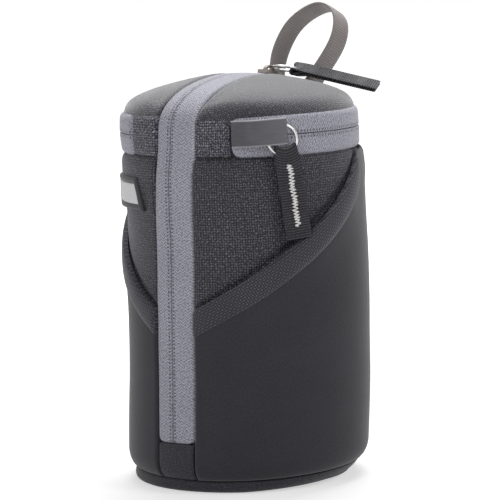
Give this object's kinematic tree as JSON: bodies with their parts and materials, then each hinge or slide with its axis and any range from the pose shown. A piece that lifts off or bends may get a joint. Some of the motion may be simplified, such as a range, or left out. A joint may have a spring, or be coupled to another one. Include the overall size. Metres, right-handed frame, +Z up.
{
  "type": "padded lens pouch",
  "caption": "Round padded lens pouch with a domed zip lid that folds forward, a side zip that lets one wall swing open, slanted stretch pockets, a grab loop and a belt loop.",
  "frame": {"origin": "on the ground under the middle of the round base", "axes": "+Z up, -Y towards the front zip, +X to the right seen from the front"},
  "size_m": [0.1078, 0.1173, 0.2043],
  "materials": {
    "ballistic_weave": "coarse matte weave",
    "smooth_cloth": "smooth matte stretch cloth",
    "ribbed_binding": "matte ribbed tape",
    "zip_tape": "fine woven tape",
    "zip_coil": "satin nylon",
    "foam": "closed-cell foam under cloth",
    "lining": "soft brushed cloth",
    "black_webbing": "ribbed webbing",
    "taupe_webbing": "smooth webbing",
    "tab_leather": "satin grained",
    "nickel": "polished nickel",
    "base_board": "plain sheet",
    "label": "bare pale patch"
  },
  "bodies": {
    "case": {"base_cover": "smooth_cloth", "base_board": "base_board", "base_foam": "foam", "base_lining": "lining", "left_foot_cover": "smooth_cloth", "zip_end_patch": "ballistic_weave", "foot_foam": "foam", "foot_lining": "lining", "right_wall_cover": "ballistic_weave", "back_wall_cover": "smooth_cloth", "wall_foam": "foam", "wall_lining": "lining", "right_pocket": "smooth_cloth", "right_pocket_binding": "ribbed_binding", "side_zip_tape_right": "zip_tape", "side_zip_coil_right": "zip_coil", "side_zip_tape_collar": "zip_tape", "top_zip_tape_lower": "zip_tape", "top_zip_coil_lower": "zip_coil", "hinge_band_lower_right": "ballistic_weave", "hinge_band_lower_left": "ballistic_weave", "belt_loop": "black_webbing"},
    "left_flap": {"left_wall_cover": "ballistic_weave", "left_wall_foam": "foam", "left_wall_lining": "lining", "left_pocket": "smooth_cloth", "left_pocket_binding": "ribbed_binding", "side_zip_tape_left": "zip_tape", "side_zip_coil_left": "zip_coil", "top_zip_tape_left": "zip_tape", "top_zip_coil_left": "zip_coil", "label_patch": "label"},
    "lid": {"lid_cover": "ballistic_weave", "lid_foam": "foam", "lid_lining": "lining", "top_zip_tape_upper": "zip_tape", "top_zip_coil_upper": "zip_coil", "hinge_band_upper_right": "ballistic_weave", "hinge_band_upper_left": "ballistic_weave", "lid_zip_tape_left": "zip_tape", "lid_zip_coil_left": "zip_coil", "lid_zip_tape_right": "zip_tape", "lid_zip_coil_right": "zip_coil", "grab_loop": "taupe_webbing"},
    "garage_tab": {"garage_tab": "tab_leather"},
    "top_slider": {"top_slider_body": "nickel"},
    "top_ring": {"top_slider_ring": "nickel"},
    "top_pull": {"top_pull": "black_webbing"},
    "side_slider": {"side_slider_body": "nickel"},
    "side_ring": {"side_slider_ring": "nickel"},
    "side_pull": {"side_pull": "black_webbing"}
  },
  "joints": [
    {"name": "left_flap_swing", "type": "hinge", "parent": "case", "child": "left_flap", "pos_m": [-0.04249, 0.03202, 0.082], "axis": [0, 0, 1], "range_deg": [-70, 0]},
    {"name": "lid_fold", "type": "hinge", "parent": "case", "child": "lid", "pos_m": [0, -0.052, 0.152], "axis": [1, 0, 0], "range_deg": [0, 115]},
    {"name": "top_slider_run", "type": "hinge", "parent": "case", "child": "top_slider", "pos_m": [0, 0, 0.152], "axis": [0, 0, 1], "range_deg": [0, 270]},
    {"name": "top_ring_swing", "type": "hinge", "parent": "top_slider", "child": "top_ring", "pos_m": [0.04041, -0.03664, 0.152], "axis": [0.7408, -0.6717, 0], "range_deg": [-8, 30]},
    {"name": "top_pull_lift", "type": "hinge", "parent": "top_ring", "child": "top_pull", "pos_m": [0.04431, -0.03234, 0.14508], "axis": [-0.6692, -0.738, -0.0872], "range_deg": [0, 70]},
    {"name": "garage_tab_lift", "type": "hinge", "parent": "lid", "child": "garage_tab", "pos_m": [0.02675, -0.04633, 0.1532], "axis": [0, 0, -1], "range_deg": [0, 90]},
    {"name": "side_slider_run", "type": "hinge", "parent": "lid", "child": "side_slider", "pos_m": [0, 0, 0.0852], "axis": [-1, 0, 0], "range_deg": [-36, 0]},
    {"name": "side_ring_swing", "type": "hinge", "parent": "side_slider", "child": "side_ring", "pos_m": [0, 0.02274, 0.17594], "axis": [0, 0.2431, 0.97], "range_deg": [-10, 2]},
    {"name": "side_pull_lift", "type": "hinge", "parent": "side_ring", "child": "side_pull", "pos_m": [0.0083, 0.03012, 0.17409], "axis": [0.4226, -0.8791, 0.2203], "range_deg": [0, 50]}
  ]
}
